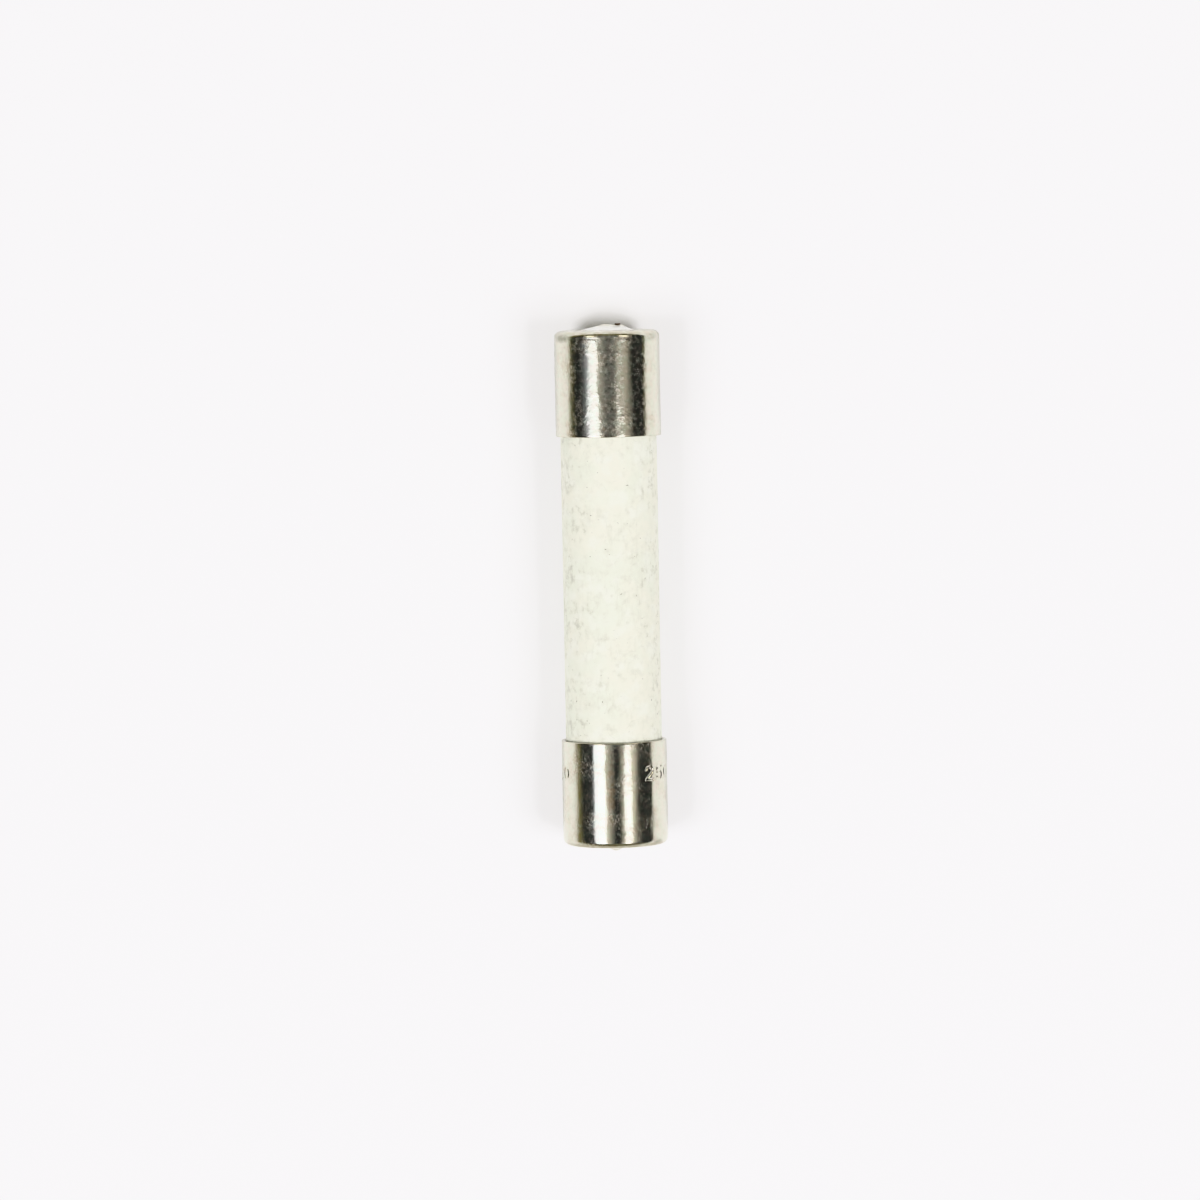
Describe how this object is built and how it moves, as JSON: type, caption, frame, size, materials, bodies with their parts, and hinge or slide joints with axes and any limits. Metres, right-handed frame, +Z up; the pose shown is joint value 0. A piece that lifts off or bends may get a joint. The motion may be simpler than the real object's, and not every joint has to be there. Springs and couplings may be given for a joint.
{
  "type": "electrical fuse",
  "caption": "Cylindrical ceramic cartridge fuse with plated metal end caps, soldered wire ends and a wound, sand-packed fuse wire inside.",
  "frame": {"origin": "centre of the fuse: on its axis, halfway between its two ends", "axes": "+Y along the fuse's axis, towards the plain cap; +Z up as the fuse lies; +X to the side where the wire's ends come through the solder"},
  "size_m": [0.0064, 0.0318, 0.0064],
  "materials": {
    "glazed_ceramic_tube": "satin",
    "nickel_plated_brass": "gloss",
    "solder": "satin",
    "fibre_washer": "matte",
    "quartz_sand": "matte",
    "glass_fibre": "satin",
    "tinned_copper": "satin"
  },
  "bodies": {
    "root": {"ceramic_tube": "glazed_ceramic_tube", "plain_cap": "nickel_plated_brass", "stamped_cap": "nickel_plated_brass", "plain_cap_solder": "solder", "stamped_cap_solder": "solder", "plain_end_washer": "fibre_washer", "stamped_end_washer": "fibre_washer", "quartz_sand": "quartz_sand", "winding_core": "glass_fibre", "fuse_wire": "tinned_copper"}
  },
  "joints": []
}
